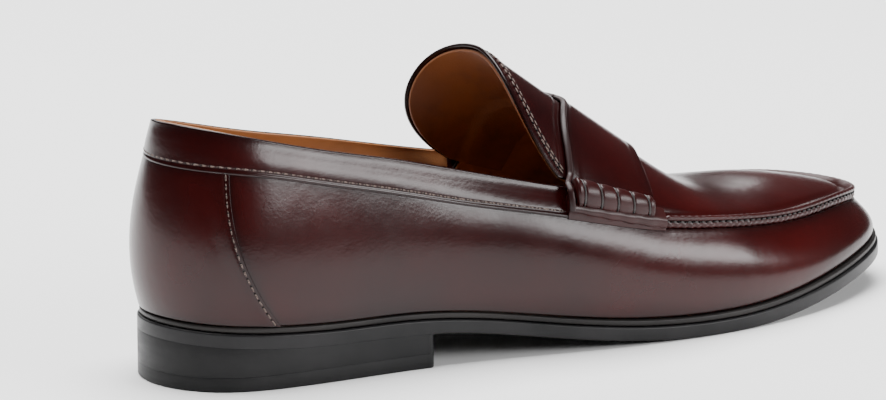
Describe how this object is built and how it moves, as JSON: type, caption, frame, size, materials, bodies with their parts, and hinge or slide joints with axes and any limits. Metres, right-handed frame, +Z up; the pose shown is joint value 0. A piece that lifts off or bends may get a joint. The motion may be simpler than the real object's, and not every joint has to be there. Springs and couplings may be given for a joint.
{
  "type": "penny loafer",
  "caption": "Right-foot leather penny loafer: moccasin-seamed toe, strap with a slot and beef-roll ends, standing tongue, stacked flat heel and a sole that bends at the ball.",
  "frame": {"origin": "centre of the shoe's plan, on the floor it stands on", "axes": "+Z up, +X from the heel to the toe, +Y towards the big-toe side of a right foot"},
  "size_m": [0.305, 0.103, 0.101],
  "materials": {
    "upper_leather": "glossy brushed-off burgundy leather",
    "lining_leather": "matt tan vegetable-tanned lining leather",
    "sole_edge": "satin black moulded rubber",
    "heel_rubber": "matt black rubber",
    "thread": "waxed thread",
    "board": "compressed fibre board",
    "cork": "granulated cork",
    "foam": "soft foam",
    "steel": "plain spring steel"
  },
  "bodies": {
    "rear": {"top_lift": "heel_rubber", "heel_block": "sole_edge", "outsole_waist": "sole_edge", "heel_nail_1": "steel", "heel_nail_2": "steel", "heel_nail_3": "steel", "heel_nail_4": "steel", "heel_nail_5": "steel", "welt_waist": "sole_edge", "shank": "steel", "insole_waist": "board", "heel_pad": "foam", "sock_waist": "lining_leather", "back_counter": "upper_leather", "side_lateral": "upper_leather", "side_medial": "upper_leather", "side_crease_lateral": "upper_leather", "lining_crease_lateral": "lining_leather", "side_crease_medial": "upper_leather", "lining_crease_medial": "lining_leather", "collar_band": "upper_leather", "heel_counter": "board", "quarter_lining_lateral": "lining_leather", "vamp_lining_lateral": "lining_leather", "quarter_lining_medial": "lining_leather", "vamp_lining_medial": "lining_leather", "apron_instep": "upper_leather", "apron_lining_instep": "lining_leather", "apron_crease": "upper_leather", "apron_lining_crease": "lining_leather", "strap": "upper_leather", "seam_rib_lateral": "upper_leather", "seam_rib_crease_lateral": "upper_leather", "seam_rib_medial": "upper_leather", "seam_rib_crease_medial": "upper_leather", "beef_roll_lateral": "upper_leather", "whip_thread_lateral": "thread", "beef_roll_medial": "upper_leather", "whip_thread_medial": "thread", "collar_thread": "thread", "counter_thread_lateral": "thread", "counter_thread_medial": "thread"},
    "forefoot": {"outsole_forepart": "sole_edge", "welt_forepart": "sole_edge", "cork_filler": "cork", "insole_forepart": "board", "sock_forepart": "lining_leather", "toe_wall": "upper_leather", "toe_puff": "board", "toe_lining": "lining_leather", "apron_toe": "upper_leather", "apron_lining_toe": "lining_leather", "seam_rib_toe": "upper_leather", "seam_rib_thread": "thread"},
    "tongue_flap": {"tongue": "upper_leather", "tongue_lining": "lining_leather", "tongue_thread": "thread"}
  },
  "joints": [
    {"name": "ball_flex", "type": "hinge", "parent": "rear", "child": "forefoot", "pos_m": [0.05725, 0.00084, 0.005], "axis": [0, -1, 0], "range_deg": [0, 30], "stiffness_Nm_per_rad": 8, "deforming": ["side_crease_lateral", "side_crease_medial", "lining_crease_lateral", "lining_crease_medial", "apron_crease", "apron_lining_crease", "seam_rib_crease_lateral", "seam_rib_crease_medial"]},
    {"name": "tongue_tip", "type": "hinge", "parent": "rear", "child": "tongue_flap", "pos_m": [0.01568, 0.00184, 0.07791], "axis": [0, 1, 0], "range_deg": [0, 14], "stiffness_Nm_per_rad": 0.4}
  ]
}
